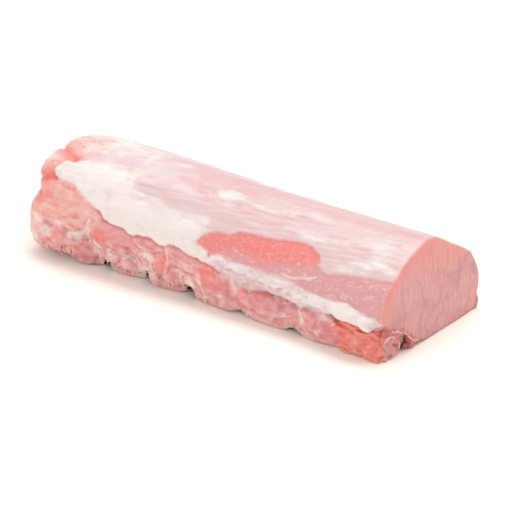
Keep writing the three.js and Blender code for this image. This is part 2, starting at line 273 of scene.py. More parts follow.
# A point this far above or below the mean of its surroundings counts in full as a ridge or a hollow.
FULL_RISE = 0.7
SURROUNDINGS = 4

# What all the materials share: how light scatters in meat, and its moist coat.
MOIST = {
    "Subsurface Radius": (1.0, 0.42, 0.32), "Subsurface Scale": 3.0 * MM, "Specular IOR Level": 0.5,
    "IOR": 1.4, "Coat IOR": 1.35, "Coat Roughness": 0.22,
}
# The studio is this much brighter than a white floor needs, so that the floor comes out white.
LIGHT_LEVEL = 1.4
# The lights: size along and across, and place, in metres. They aim a little above the floor.
TOP_LIGHT = ((2.4, 0.8), (0.05, 0.45, 1.45))
FRONT_LIGHT = ((1.6, 1.6), (-0.5, -1.8, 0.6))
LIT_HEIGHT = 0.03
FLOOR_HALF = 4.0
VIEW_FAR = 20.0


def number(name, description, default, **more):
    """A number that a user can set."""
    return bpy.props.FloatProperty(name=name, description=description, default=default, **more)


def length(name, description, size):
    """A length that a user can set, with its default in millimetres."""
    return number(name, description, size * MM, unit="LENGTH")


def seen(name, description, *lights):
    """A colour that a user can set, with its default as seen on screen, from 0 to 255."""
    default = [light / 255 for light in lights]
    return bpy.props.FloatVectorProperty(
        name=name, description=description, subtype="COLOR_GAMMA", default=default)


class LoinRelief(bpy.types.PropertyGroup):
    """How far the skin's details stand out or sink in."""
    sheet_thick: length("Sheet thickness", "Height of the fat sheet over the bare meat at its edge", 1.3)
    window_deep: length("Bare muscle depth", "How far the bare muscle lies under the sheet", 1.0)
    lobe_swell: length("Lobe swell", "How far the side lobes bulge between their webs", 2.2)
    web_high: length("Web height", "Height of the pale webs between the lobes", 0.9)
    streak_high: length("Streak height", "Height of the long fine ridges of the silverskin", 0.28)
    grain_high: length("Grain height", "Height of the grain of bare meat", 0.3)
    torn_high: length("Torn relief", "Depth of the folds in the torn trimmings", 2.4)
    strand_thick: length("Strand thickness", "Half the thickness of a pale strand", 0.28)
    shred_size: length("Shred size", "About half the length of a small torn bit", 1.5)


class LoinColours(bpy.types.PropertyGroup):
    """The colours of the meat, its fat and its membranes, as seen on screen."""
    fat: seen("Fat", "Thick white fat", 250, 238, 233)
    seam: seen("Seam fat", "Bluish white fat of the seam", 247, 236, 241)
    silver: seen("Silverskin", "Thin skin over the top", 231, 200, 199)
    blush: seen("Blush", "Pink where the thin skin shows the meat", 231, 180, 179)
    lilac: seen("Lilac", "Lilac patches of the silverskin", 233, 194, 206)
    grey: seen("Grey", "Grey patches of the silverskin", 221, 203, 204)
    coral: seen("Coral", "Freshest bare meat", 247, 131, 121)
    salmon: seen("Salmon", "Bare meat of the rib end", 245, 172, 162)
    mauve: seen("Mauve", "Duller meat", 214, 146, 150)
    lobe: seen("Lobe", "Meat of the side lobes", 242, 162, 162)
    plum: seen("Plum", "Darker meat of the side lobes", 225, 138, 142)
    rose: seen("Rose", "Bare muscle by the cut", 230, 164, 166)
    cut: seen("Cut face", "Meat of the cut face", 240, 171, 169)
    # The warm rim is partly the meat's coral edge and partly painted light over the top of the cut face.
    warm: seen("Warm rim", "Rim of the cut face", 255, 163, 151)
    web: seen("Web", "Pale webs and strands", 253, 226, 218)
    peach: seen("Peach", "Palest bare meat of the rib end", 252, 210, 200)
    # Deep is painted shade: it darkens the hollows of the relief, the shadow along the sheet's edge and the
    # hollows of the torn flap.
    deep: seen("Deep", "Meat in the grooves", 212, 108, 104)
    fresh: seen("Fresh", "Meat of the torn nub", 255, 142, 128)
    torn: seen("Torn", "Meat of the torn flap", 234, 130, 132)
    # Ember is painted shade in the hollows of the coral trimming's folds.
    fold_shade: seen("Ember", "Folds of the coral trimming", 226, 94, 82)
    # Cave is painted shade: the dark inside of deep holes and the undersides of the floor notches.
    cave: seen("Cave", "Inside of the small holes", 48, 18, 15)


class LoinStudio(bpy.types.PropertyGroup):
    """The camera, the lights and the floor."""
    azimuth: number("Azimuth", "Camera angle round the loin", math.radians(38), subtype="ANGLE")
    elevation: number("Elevation", "Camera angle above the floor", math.radians(24.5), subtype="ANGLE")
    distance: number("Distance", "Camera distance from its aim", 1.4652, unit="LENGTH")
    aim: bpy.props.FloatVectorProperty(
        name="Aim", description="The point that the camera looks at", subtype="TRANSLATION",
        default=(0.03326, -0.02945, 0.035))
    lens: number("Lens", "Focal length in millimetres", 150.0)
    key: number("Top light", "Power of the light overhead", 22.8)
    fill: number("Fill light", "Power of the light in front", 15.0)
    sky: number("Room light", "Strength of the white room", 0.76)
    floor: seen("Floor", "Colour of the floor", 247, 241, 233)


def mix(start, end, share):
    """What lies at a share of the way from start to end."""
    return start + (end - start) * share


def smooth(low, high, value):
    """0 at low and 1 at high, smooth between and level beyond. Low may be the larger one."""
    share = np.clip((value - low) / (high - low), 0, 1)
    return share * share * (3 - 2 * share)


def between(rise, full, fade, gone, value):
    """0 up to rise, 1 from full to fade, and 0 again from gone on."""
    return smooth(rise, full, value) * smooth(gone, fade, value)


def hill(value, centre, wide):
    """1 at the centre, fading to both sides over a width."""
    return np.exp(-((value - centre) / wide) ** 2)


def super_round(depth, power):
    """The share of full width left at a depth of 0 to 1 into a rounded end."""
    return (1 - np.clip(depth, 0, 1) ** power) ** (1 / power)


class Grain:
    """Smooth seeded noise in space, which the gain brings mostly between -1 and 1."""
    gain = 1.8

    def __init__(self, seed):
        chance = np.random.default_rng(seed)
        self.order = chance.permutation(256)
        slopes = chance.normal(size=(256, 3))
        self.slopes = slopes / np.linalg.norm(slopes, axis=1, keepdims=True)

    def once(self, places):
        cell = np.floor(places).astype(int)
        part = places - cell
        fade = part ** 3 * (part * (part * 6 - 15) + 10)
        total = np.zeros(places.shape[:-1])
        for corner in product((0, 1), repeat=3):
            x, y, z = np.moveaxis((cell + corner) & 255, -1, 0)
            spot = self.order[(self.order[(self.order[x] + y) & 255] + z) & 255]
            rise = ((part - corner) * self.slopes[spot]).sum(-1)
            total += rise * np.prod(np.where(corner, fade, 1 - fade), -1)
        return total * self.gain

    def at(self, points, size, octaves=1):
        """Noise at points in millimetres, with features of the given size along, across and up."""
        places = points / np.array(size, float)
        total = self.once(places)
        for octave in range(1, octaves):
            total = total + self.once(places * 2 ** octave + 17 * octave) / 2 ** octave
        return total


def eye_outline(x):
    """The big muscle's outline at each place along the loin: rows of (across, up)."""
    turn = smooth(*SECTION_TURN, x)[:, None, None]
    marks = mix(np.array(CUT_SECTION, float), np.array(RIB_SECTION, float), turn)
    step = np.arange(STEPS_A_LANDMARK) / STEPS_A_LANDMARK
    shifted = [np.roll(marks, -shift, axis=1)[:, :, None, :] for shift in (-1, 0, 1, 2)]
    before, start, end, after = shifted
    t = step[None, None, :, None]
    bend = 2 * before - 5 * start + 4 * end - after
    twist = 3 * (start - end) + after - before
    curve = start + 0.5 * t * (end - before + t * (bend + t * twist))
    curve = curve.reshape(len(x), -1, 2)
    across, up = curve[..., 0], curve[..., 1]
    near_end = [smooth(RIB_X + form["reach"], RIB_X + 8, x)[:, None] for form in (FOLD, FURROW)]
    fold = FOLD["deep"] * hill(up, FOLD["up"], FOLD["wide"]) * smooth(-35, -70, across)
    furrow = FURROW["deep"] * hill(across, FURROW["across"], FURROW["wide"]) * smooth(40, 60, up)
    across = across + fold * near_end[0]
    up = np.maximum(0, up - furrow * near_end[1])
    return np.stack([across, up], -1)


def tube_share(x, first, last, first_round, last_round):
    """How much of its full section a tube has at x, with 0 outside its ends."""
    share = super_round((first + first_round - x) / first_round, TUBE_BLUNT)
    share = share * super_round((x - last + last_round) / last_round, TUBE_BLUNT)
    return np.where((x > first) & (x < last), share, 0)


def round_outline(x, share, centre, wide, high, swell=None, boxy=2.0):
    """A tube's outline: round, or squarer for a larger boxy power. swell scales it round the angle."""
    angle = np.linspace(0, 2 * np.pi, TUBE_CORNERS, endpoint=False)[None, :]
    cosine, sine = np.cos(angle), np.sin(angle)
    square = (np.abs(cosine) ** boxy + np.abs(sine) ** boxy) ** (-1 / boxy)
    size = share[:, None] * square * (1 if swell is None else swell(x[:, None], angle))
    column = [np.broadcast_to(value, x.shape)[:, None] for value in (*centre, wide, high)]
    across = column[0] - size * column[2] * cosine
    up = np.maximum(0, column[1] + size * column[3] * sine)
    return np.stack([across, up], -1)


def rib_pinch(x):
    """How deep the grooves between the ribs are at x."""
    return np.max([deep * np.exp(-np.abs(x - place) / GAP_WIDE) for place, deep in RIB_GAPS], axis=0)


def side_outline(x):
    """The side meat: deep at the rib end, low towards the cut, grooved between the ribs."""
    low = smooth(-30, 55, x)
    toe = smooth(96, 120, x)
    share = tube_share(x, *SIDE_TUBE)
    centre_up = mix(18.5, 11, low) - 2 * toe + 5 * smooth(-130, -162, x)
    centre_across = mix(-58, -65, toe) - 7 * smooth(-85, -150, x)
    wide = mix(mix(24, 22, low), 11.5, toe)
    high = mix(20.5, 14.5, low) - 3.5 * toe
    outline = round_outline(x, share, (centre_across, centre_up), wide, high, boxy=4)
    across, up = outline[..., 0], outline[..., 1]
    place = x[:, None] + GAP_LEAN * up
    pinch = rib_pinch(place) * (1 - toe)[:, None] * smooth(-50, -72, across)
    lifts = [rise * hill(x, place, half) for place, half, rise, _ in FLOOR_GAPS]
    lift = np.max(lifts, axis=0)[:, None]
    under = smooth(FLOOR_GAP_DEEP, 0, across - FLOOR_GAP_FRONT) * smooth(16, 6, up)
    return np.stack([across + pinch, np.maximum(up, lift * under)], -1)


def seam_outline(x):
    """The fat seam: a low band that thickens to a lump above the torn trimming."""
    ripple = 0.5 * np.sin(0.16 * x) + 0.4 * np.sin(0.29 * x + 1)
    lump = smooth(98, 118, x)
    share = tube_share(x, *SEAM_TUBE)
    up = mix(39.5, 29, smooth(-20, 75, x)) - 3 * smooth(112, 134, x) + ripple
    high = mix(2.5, 5.5, smooth(-10, 85, x))
    return round_outline(x, share, (-72.0, up), mix(6, 8.5, lump), high)


def wad_outline(x):
    """The wad of trimmings tucked under the near side."""
    share = tube_share(x, *WAD_TUBE)
    return round_outline(x, share, *WAD, lambda x, angle: 1 + 0.09 * np.sin(0.31 * x + 2 * angle))


def lip_outline(x):
    """The rounded lip along the far edge."""
    share = tube_share(x, *LIP_TUBE)
    return round_outline(x, share, *LIP, lambda x, angle: 1 + 0.1 * np.sin(0.11 * x))


# The outlines that are joined to the eye's, each with the distance over which it blends in.
JOINED = ((side_outline, 2.5), (seam_outline, 1.5), (wad_outline, 2.0), (lip_outline, 2.0))


def reach(outline, degrees, chunk=40):
    """How far each outline reaches from the heart in each direction."""
    ray = np.stack([-np.cos(np.radians(degrees)), np.sin(np.radians(degrees))], -1)
    result = np.full((len(outline), len(degrees)), NOWHERE)
    for first in range(0, len(outline), chunk):
        start = outline[first:first + chunk] - np.array(HEART)
        edge = np.roll(start, -1, axis=1) - start
        cross_ray = ray[None, None, :, 0] * edge[:, :, None, 1]
        cross_ray = cross_ray - ray[None, None, :, 1] * edge[:, :, None, 0]
        safe = np.where(np.abs(cross_ray) < 1e-9, 1e-9, cross_ray)
        far = (start[..., 0] * edge[..., 1] - start[..., 1] * edge[..., 0])[..., None] / safe
        along = start[:, :, None, 0] * ray[None, None, :, 1]
        along = (along - start[:, :, None, 1] * ray[None, None, :, 0]) / safe
        met = (along >= -1e-6) & (along <= 1 + 1e-6) & (np.abs(cross_ray) > 1e-9)
        result[first:first + chunk] = np.where(met, far, NOWHERE).max(axis=1)
    return result


def soft_max(first, second, blend):
    """The larger of two reaches, rounded where they come within the blend of each other."""
    near = np.clip(1 - np.abs(first - second) / blend, 0, 1)
    return np.maximum(first, second) + near * near * blend / 4


def spread(places, steps):
    """Places along a line at even steps of the running sum, ends included."""
    run = np.concatenate([[0], np.cumsum(steps)])
    even = np.linspace(0, run[-1], max(2, int(round(run[-1])) + 1))
    return np.interp(even, run, np.arange(len(places)))


def skin_rows(spacing):
    """Where the rows lie: x, the eye's share of its full section, and 1 on the cut face."""
    depth = np.cos(np.linspace(0, np.pi / 2, 200))[1:]
    rib = [(RIB_X + RIB_ROUND * (1 - d), super_round(d, RIB_BLUNT), 0) for d in depth]
    side = [(x, 1.0, 0) for x in np.arange(RIB_X + RIB_ROUND, CUT_X - CUT_EDGE, FINE_STEP)]
    turns = [(math.sin(turn), math.cos(turn)) for turn in np.linspace(0, np.pi / 2, 9)]
    edge = [(CUT_X - CUT_EDGE * (1 - sine), 1 - EDGE_SHRINK * (1 - cosine), 0) for sine, cosine in turns]
    rings = np.linspace(0.998 - EDGE_SHRINK, 0.02, 160)
    face = [(CUT_X + CUT_BULGE * (1 - ring ** 2), ring, 1) for ring in rings]
    rows = np.array(rib + side + edge + face, float)
    step = np.hypot(np.diff(rows[:, 0]), EYE_RADIUS * np.diff(rows[:, 1]))
    # The rows lie wider apart on the two ends, and closer round the rim of the cut face.
    x, _, on_face = rows[1:].T
    spaces = np.where(on_face > 0, spacing * 1.9, spacing)
    spaces = np.where(x < RIB_X + RIB_ROUND, spacing * 1.5, spaces)
    spaces = np.where((x > CUT_X - CUT_EDGE) & (on_face == 0), spacing * 0.5, spaces)
    picks = spread(rows, step / spaces)
    return np.stack([np.interp(picks, np.arange(len(rows)), rows[:, k]) for k in range(3)], -1)


def skin_columns(spacing):
    """Directions round the heart: close on the near side, wider on top, far side and underneath."""
    degrees = np.arange(-45, 315, FINE_TURN)
    stretches = [degrees < -32, degrees < 100, degrees < 205]
    spaces = np.select(stretches, [2.2 * spacing, spacing, 1.7 * spacing], 4.5 * spacing)
    picks = spread(degrees, FINE_TURN / spaces[:-1])[:-1]
    return np.interp(picks, np.arange(len(degrees)), degrees)


def inside_distance(outline, along, around):
    """Distance to a closed outline on the skin's map, positive inside it."""
    nearest = np.full(along.shape, 1e9)
    inside = np.zeros(along.shape, bool)
    points = np.array(outline, float)
    for (ax, ay), (bx, by) in zip(points, np.roll(points, -1, axis=0)):
        nearest = np.minimum(nearest, piece_distance(ax, ay, bx, by, along, around))
        if ay != by:
            crosses = (ay > around) != (by > around)
            inside ^= crosses & (along < (bx - ax) * (around - ay) / (by - ay) + ax)
    return np.where(inside, nearest, -nearest)


def piece_distance(ax, ay, bx, by, along, around):
    """Distance to the straight piece from a to b on the skin's map."""
    span = (bx - ax) ** 2 + (by - ay) ** 2
    share = np.clip(((along - ax) * (bx - ax) + (around - ay) * (by - ay)) / span, 0, 1)
    return np.hypot(along - ax - share * (bx - ax), around - ay - share * (by - ay))


def line_distance(line, along, around):
    """Distance to an open line on the skin's map."""
    pieces = [piece_distance(*start, *end, along, around) for start, end in zip(line, line[1:])]
    return np.min(pieces, axis=0)


def turned(along, around, tilt=0):
    """Distances on the map as seen from an axis tilted by some degrees."""
    cosine, sine = math.cos(math.radians(tilt)), math.sin(math.radians(tilt))
    return along * cosine + around * sine, around * cosine - along * sine


def lobes(marks, along, around):
    """1 at the middle of a lobe, 0 at its edge, down to -1 well outside every lobe."""
    depth = np.full(along.shape, -1.0)
    for place, turn, long, wide, tilt in marks:
        ahead, aside = turned(along - place, around - turn, tilt)
        depth = np.maximum(depth, 1 - np.hypot(ahead / long, aside / wide))
    return depth


def stain(marks, along, around):
    """Soft spots, each strongest at its middle."""
    total = np.zeros(along.shape)
    for place, turn, long, wide, strong, *tilt in marks:
        ahead, aside = turned(along - place, around - turn, *tilt)
        total = np.maximum(total, strong * hill(ahead, 0, long) * hill(aside, 0, wide))
    return total


def grid_normals(points):
    """Outward directions of a grid whose columns close into a ring."""
    down = np.gradient(points, axis=0)
    round_ = np.roll(points, -1, axis=1) - np.roll(points, 1, axis=1)
    normal = np.cross(down, round_)
    return normal / np.maximum(np.linalg.norm(normal, axis=-1, keepdims=True), 1e-9)


def blurred(values, reach):
    """The mean over a window of the grid, whose columns close into a ring."""
    total = np.zeros(values.shape)
    padded = np.pad(values, ((reach, reach), (0, 0)), mode="edge")
    for shift in range(2 * reach + 1):
        total += padded[shift:shift + len(values)]
    rows = total / (2 * reach + 1)
    return np.mean([np.roll(rows, shift, axis=1) for shift in range(-reach, reach + 1)], axis=0)


class Skin:
    """The loin's whole surface as a grid, with a map of what lies where.

    On the map, along counts in millimetres and around in degrees, as in the tables above.
    """

    def __init__(self, relief, spacing=0.95):
        self.columns = columns = skin_columns(spacing)
        self.rows, share, face = skin_rows(spacing).T
        where = np.minimum(self.rows, CUT_X)
        radius = share[:, None] * reach(eye_outline(where), columns)
        for outline, blend in JOINED:
            more = np.where(face[:, None] > 0, NOWHERE, reach(outline(where), columns))
            radius = soft_max(radius, more, blend)
        turn = np.radians(columns)
        across = HEART[0] - radius * np.cos(turn)
        up = np.maximum(0, HEART[1] + radius * np.sin(turn))
        rim = np.where(face > 0, (1 - share) * FACE_RADIUS, self.rows - (CUT_X - CUT_EDGE))
        by_row = [self.rows, where, face, rim]
        x, self.along, self.face, self.rim = (np.broadcast_to(row[:, None], up.shape) for row in by_row)
        self.around = np.broadcast_to(columns, up.shape)
        self.points = np.stack([x, across, up], -1)
        # The warm rim of the cut face is the meat's own coral edge, made wider and stronger over the top as
        # painted light, and it comes back at the far foot.
        top = between(40, 75, 120, 175, columns)
        warm = np.exp(-np.maximum(0, self.rim) / (12.0 + 14 * top)) * smooth(-12, 12, columns)
        self.warm = (0.9 + 0.2 * top) * warm * smooth(172, 140, columns)
        self.warm = self.warm + 0.9 * hill(columns, 196, 12) * hill(self.rim, 0, 12)
        self.paint()
        self.raise_relief(relief)
        self.lean()

    def paint(self):
        """Finds each point's distance to every border, lobe and web."""
        along, around = self.along, self.around
        # Every border wanders a little, some more and some less.
        drift = 1.1 * Grain(3).at(self.points, (9, 7, 7), 3)
        turn = 0.8 * Grain(4).at(self.points, (9, 6, 6), 3)
        place = (along + drift, around + turn)
        loose = (along + 2 * drift, around + 2 * turn)
        firm = (along + 0.5 * drift, around + 0.5 * turn)
        self.bare = inside_distance(BARE_MUSCLE, *firm)
        self.red = inside_distance(RED_MUSCLE, *firm)
        thick = inside_distance(THICK_FAT, along + 3 * drift, loose[1])
        # At the rib end and on the far side the sheet thins out with no edge.
        thinned = smooth(-112, -124, along) * smooth(42, 56, around)
        thinned = thinned + smooth(120, 150, around)
        low_end = between(-138, -128, -108, -96, along)
        soft = thinned + 0.08 * low_end * smooth(36, 32, around)
        self.sheet = inside_distance(SHEET_EDGE, *place) / (1 + 20 * np.clip(soft, 0, 1))
        self.step = between(-104, -84, 0, 30, along) * smooth(60, 30, around)
        self.creases = [line_distance(line, *place) for line in CREASES]
        self.thin_line = line_distance(THIN_LINE, *place)
        self.web = np.min([line_distance(line, *loose) for line in WEBS], axis=0)
        self.web = self.web + 1.1 * smooth(8, 24, along)
        self.lobe = lobes(LOBES, *place)
        self.stains = {name: stain(marks, *loose) for name, marks in STAINS.items()}
        self.stains["fat"] = np.maximum(self.stains["fat"], smooth(-13, 9, thick))

    def raise_relief(self, relief):
        """Moves every point along its normal by what lies there."""
        points, along, around = self.points, self.along, self.around
        normals = grid_normals(points)
        side = 1 - self.face
        on_sheet = smooth(-0.3, 1.0, self.sheet)
        bare = smooth(-1.0, 2.2, self.bare) * side
        flesh = (1 - on_sheet) * side
        near = between(-42, -30, 30, 60, around)
        high = np.zeros(self.sheet.shape)
        # The sheet: slow swells, smooth islands and long fine ridges that climb towards the cut.
        swells = 0.45 * Grain(7).at(points, (34, 15, 15), 2)
        for place, turn, long, wide, rise in ISLANDS:
            gap = np.hypot((along - place) / long, (around - turn) / wide)
            swells = swells + rise * smooth(1.2, 0.6, gap + 0.12 * Grain(18).at(points, (14, 9, 9)))
        climb = points - np.array([0, STREAK_CLIMB, STREAK_CLIMB]) * points[..., :1]
        streaks = Grain(5).at(climb, (42, 4.2, 4.2), 2) + 0.5 * Grain(6).at(climb, (20, 1.9, 1.9))
        high += on_sheet * side * (1 - bare) * (swells + relief.streak_high / MM * streaks)
        # The seam band and its lump are rough and thick.
        seam = smooth(-6, 20, along) * smooth(13, 8, around)
        seam = seam * on_sheet * near * side * (1 - bare)
        ropes = 1 - 2 * np.abs(Grain(12).at(points, (14, 4, 4), 2))
        lumps = Grain(16).at(points, (6, 3.4, 3.4), 3)
        high += seam * (0.3 + (0.9 * ropes + 0.9 * lumps) * smooth(135, 70, along))
        # Bare muscle lies lower and is granular; a thin pale line crosses it.
        grain = Grain(8).at(points, (2.6, 2.2, 2.2), 2)
        high -= bare * relief.window_deep / MM * smooth(165, 60, along)
        high += bare * relief.grain_high / MM * grain
        high += bare * 0.4 * hill(self.thin_line, 0, 1.2)
        # The side meat: a step under the sheet, a shadow groove, then domed lobes between soft tissue.
        high -= flesh * relief.sheet_thick / MM * mix(0.4, 1, smooth(-106, -90, along))
        high -= near * (0.2 + 0.5 * self.step) * hill(self.sheet, -1.1, 1.0) * side
        dome = np.sqrt(np.clip(self.lobe * (2 - self.lobe), 0, 1))
        high += flesh * near * relief.lobe_swell / MM * dome
        pale = np.clip(self.stains["pale"], 0, 1)
        ridges = 1 - 2 * np.abs(Grain(13).at(points, (7, 4.5, 4.5), 1))
        high += flesh * near * pale * (0.9 * ridges + 0.7 * Grain(14).at(points, (3.4, 2.6, 2.6), 2))
        webs = relief.web_high / MM * hill(self.web, 0, 1.1) - 0.7 * hill(self.web, 0, 2.6)
        high += flesh * near * webs
        high += flesh * (0.5 * Grain(9).at(points, (9, 5, 5), 3) + 0.4 * relief.grain_high / MM * grain)
        # Painted shade inside the deeper holes and under the floor notches, kept as a share for the
        # material.
        self.cave = np.zeros(high.shape)
        for place, turn, long, wide, deep in HOLES:
            below = np.where(around < turn, 2.5, 1.0)
            gap = np.hypot((along - place) / long, (around - turn) / wide / below)
            gap = gap + 0.13 * grain
            high -= near * deep * smooth(1.15, 0.75, gap)
            self.cave = np.maximum(self.cave, (deep > DARK_HOLE) * smooth(1.15, 0.85, gap))
        for place, wide, rise, dark in FLOOR_GAPS:
            under = hill(along, place, wide) * smooth(-20, -25, around)
            self.cave = np.maximum(self.cave, dark * smooth(0.25, 0.6, under))
        # The creases at the rib end, between rounded lobes.
        for gap, (deep, wide) in zip(self.creases, CREASE_DEPTHS):
            high -= deep * hill(gap, 0, wide) * side
        # The cut face: faint upright ridges where the knife dragged.
        drag = Grain(10).at(points, (9, 2.4, 30), 2) + 0.8 * Grain(11).at(points, (9, 14, 14))
        high += self.face * 0.28 * drag * smooth(0, 8, self.rim)
        # Ridges and hollows of the relief: the materials paint highlights on the ridges and shade in the
        # hollows.
        above = (high - blurred(high, SURROUNDINGS)) / FULL_RISE
        self.hollow = np.clip(-above, 0, 1)
        self.ridge = np.clip(above, 0, 1)
        away = normals * high[..., None]
        away[..., 2] *= smooth(0.2, 3.0, points[..., 2])
        self.points = points + away
        self.points[..., 2] = np.maximum(0, self.points[..., 2])

    def lean(self):
        """Leans the end by the cut back from the upright."""
        self.points[..., 0] -= CUT_LEAN * self.points[..., 2] * smooth(LEAN_FROM, CUT_X, self.along)

    def line(self, places, step=1.5):
        """Points on the skin along a line of its map, close enough together to follow it."""
        marks = np.array(places, float)
        run = np.concatenate([[0], np.cumsum(np.hypot(*np.diff(marks, axis=0).T))])
        even = np.linspace(0, run[-1], max(2, int(run[-1] / step) + 1))
        return [self.spot(*(np.interp(far, run, side) for side in marks.T)) for far in even]

    def spot(self, along, around):
        """A point on the skin at a place of its map."""
        row = np.interp(along, self.rows, np.arange(len(self.rows)))
        column = np.interp(around, self.columns, np.arange(len(self.columns)))
        i, j = int(row), int(column)
        s, t = row - i, column - j
        corners = self.points[i:i + 2, j:j + 2]
        return mix(mix(corners[0, 0], corners[1, 0], s), mix(corners[0, 1], corners[1, 1], s), t)


SKINS = {}


def skin_for(relief):
    """The skin for these sizes, worked out once."""
    sizes = tuple(getattr(relief, name) for name in relief.__annotations__)
    if sizes not in SKINS:
        SKINS[sizes] = Skin(relief)
    return SKINS[sizes]


def placed(points):
    """Points of the drawing, in millimetres, as places in the frame, in metres."""
    return (np.asarray(points, float) + SHIFT) * MM


def ring_mesh(name, grid, fields):
    """A closed mesh from a grid of rings and a point amid each end ring, with its fields."""
    rows, columns = grid.shape[:2]
    vertices = np.concatenate([grid.reshape(-1, 3), [grid[0].mean(axis=0), grid[-1].mean(axis=0)]])
    i, j = np.meshgrid(np.arange(rows - 1), np.arange(columns), indexing="ij")
    after = (j + 1) % columns
    here, below = i * columns, (i + 1) * columns
    quads = np.stack([here + j, below + j, below + after, here + after], -1)
    edge = np.arange(columns)
    first, last = rows * columns, rows * columns + 1
    faces = quads.reshape(-1, 4).tolist()
    faces += np.stack([np.full(columns, first), edge, (edge + 1) % columns], -1).tolist()
    base = (rows - 1) * columns
    faces += np.stack([np.full(columns, last), base + (edge + 1) % columns, base + edge], -1).tolist()
    mesh = bpy.data.meshes.new(name)
    mesh.from_pydata(placed(vertices).tolist(), [], faces)
    for field, values in fields.items():
        layer = mesh.attributes.new(field, "FLOAT", "POINT")
        ends = [values[0].mean(), values[-1].mean()]
        values = np.concatenate([values.reshape(-1), ends]).astype(np.float32)
        layer.data.foreach_set("value", values)
    mesh.shade_smooth()
    return mesh


def show(name, data):
    """Adds an object to the scene."""
    thing = bpy.data.objects.new(name, data)
    bpy.context.scene.collection.objects.link(thing)
    return thing


def add_piece(name, mesh):
    """Shows a mesh as a piece of the loin, at the origin, in place of the plain solid."""
    piece = show(name, mesh)
    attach(piece, "root")
    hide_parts("loin")
    return piece


def linear(colour):
    """A seen colour as the light that it stands for."""
    return tuple(c / 12.92 if c <= 0.04045 else ((c + 0.055) / 1.055) ** 2.4 for c in colour)


class Shade:
    """A value in a tree of nodes: sums on it add Math nodes."""

    def __init__(self, graph, socket):
        self.graph = graph
        self.socket = socket

    def sum(self, operation, *values, clamp=False):
        return self.graph.node("ShaderNodeMath", {"operation": operation, "use_clamp": clamp}, values)

    def __add__(self, other):
        return self.sum("ADD", self, other)

    __radd__ = __add__

    def __sub__(self, other):
        return self.sum("SUBTRACT", self, other)

    def __rsub__(self, other):
        return self.sum("SUBTRACT", other, self)

    def __neg__(self):
        return self.sum("SUBTRACT", 0.0, self)

    def __mul__(self, other):
        return self.sum("MULTIPLY", self, other)

    __rmul__ = __mul__

    def clamped(self):
        return self.sum("ADD", self, 0.0, clamp=True)

    def band(self, low, high):
        """0 below low, 1 above high, smooth between."""
        settings = {"interpolation_type": "SMOOTHSTEP"}
        return self.graph.node("ShaderNodeMapRange", settings, (self, low, high, 0.0, 1.0))

    def bump(self, centre, wide):
        """1 at the centre, falling to 0 at the given distance."""
        gap = self.sum("ABSOLUTE", self - centre)
        return 1 - gap.band(0.0, wide)


class Graph:
    """A tree of nodes under construction, with one method for any node."""

    def __init__(self, tree):
        self.nodes = tree.nodes
        self.links = tree.links

    def node(self, kind, settings, values, output=0):
        """Adds a node: its settings first, then its sockets' values or links."""
        node = self.nodes.new(kind)
        for setting, value in settings.items():
            setattr(node, setting, value)
        pairs = values.items() if isinstance(values, dict) else enumerate(values)
        for socket, value in pairs:
            if isinstance(value, Shade):
                self.links.new(value.socket, node.inputs[socket])
            elif value is not None:
                node.inputs[socket].default_value = value
        return Shade(self, node.outputs[output])


class Finish(Graph):
    """A material under construction."""

    def __init__(self, name, coat, scatter):
        self.material = bpy.data.materials.new(name)
        self.material.use_nodes = True
        super().__init__(self.material.node_tree)
        self.shader = self.nodes["Principled BSDF"].inputs
        for socket, value in {**MOIST, "Coat Weight": coat, "Subsurface Weight": scatter}.items():
            self.shader[socket].default_value = value
        sockets = {"Vector": self.node("ShaderNodeTexCoord", {}, (), "Object"), "Angle": -STREAK_CLIMB}
        self.place = self.node("ShaderNodeVectorRotate", {"rotation_type": "Z_AXIS"}, sockets)

    def field(self, name):
        """One of the mesh's fields."""
        return self.node("ShaderNodeAttribute", {"attribute_name": name}, (), "Fac")

    def noise(self, size, detail=2.0, stretch=(1, 1, 1), rough=0.5, twist=0.0):
        """Noise from -0.5 to 0.5 with features of a size in millimetres, longer along each stretch."""
        scale = tuple(1 / (size * MM * long) for long in stretch)
        spot = self.node("ShaderNodeVectorMath", {"operation": "MULTIPLY"}, (self.place, scale))
        sockets = {"Vector": spot, "Scale": 1.0, "Detail": detail, "Roughness": rough}
        return self.node("ShaderNodeTexNoise", {}, {**sockets, "Distortion": twist}) - 0.5

    def colour(self, value):
        """A socket's colour as it is, or a seen colour as light."""
        if isinstance(value, Shade):
            return value
        return (*(light / LIGHT_LEVEL for light in linear(value)), 1.0)

    def blend(self, share, first, second):
        """Mixes two colours."""
        settings = {"data_type": "RGBA", "clamp_factor": True}
        sockets = {0: share, 6: self.colour(first), 7: self.colour(second)}
        return self.node("ShaderNodeMix", settings, sockets, 2)

    def layers(self, colour, *coats):
        """A colour under coats of others, each given as its share and its colour."""
        for share, coat in coats:
            colour = self.blend(share, colour, coat)
        return colour

    def finish(self, colour, rough, relief, high):
        """Joins the colour, the roughness and the fine relief to the shader."""
        sockets = {"Strength": 1.0, "Distance": high * MM, "Height": relief}
        normal = self.node("ShaderNodeBump", {}, sockets, "Normal")
        for socket, value in (("Base Color", colour), ("Roughness", rough), ("Normal", normal)):
            self.links.new(value.socket, self.shader[socket])
        return self.material


